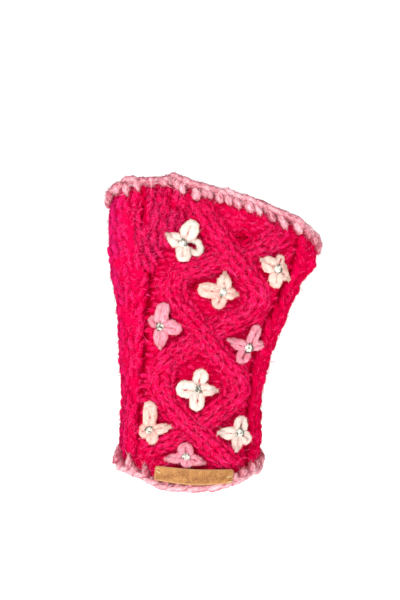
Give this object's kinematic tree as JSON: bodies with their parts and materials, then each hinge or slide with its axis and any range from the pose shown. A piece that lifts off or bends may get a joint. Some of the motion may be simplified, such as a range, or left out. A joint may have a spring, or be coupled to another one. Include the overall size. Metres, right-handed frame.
{
  "type": "knitted arm warmer",
  "caption": "Knitted fingerless arm warmer with crossed cables, crocheted rims, daisies and a bare leather label, in its worn hollow form.",
  "frame": {"origin": "on the arm's axis at the narrowest part of the wrist, where the wearer holds the cloth up", "axes": "+Z along the arm towards the fingers, -Y out of the back of the hand, -X towards the thumb"},
  "size_m": [0.103, 0.0552, 0.1504],
  "materials": {
    "crimson_wool": "chunky two-ply wool, knitted, with a soft halo",
    "pale_pink_wool": "two-ply wool, crocheted",
    "cream_wool": "two-ply wool, worked in loops",
    "peach_wool": "two-ply wool, worked in loops",
    "pink_wool": "two-ply wool, worked in loops",
    "tan_leather": "plain vegetable-tanned strip, bare"
  },
  "bodies": {
    "root": {"cable_panel": "crimson_wool", "palm_panel": "crimson_wool", "hand_edging": "pale_pink_wool", "wrist_edging": "pale_pink_wool", "leather_label": "tan_leather", "daisy_1": "cream_wool", "daisy_2": "peach_wool", "daisy_3": "peach_wool", "daisy_4": "pink_wool", "daisy_5": "pink_wool", "daisy_6": "cream_wool", "daisy_7": "peach_wool", "daisy_8": "cream_wool", "daisy_9": "pink_wool"}
  },
  "joints": []
}
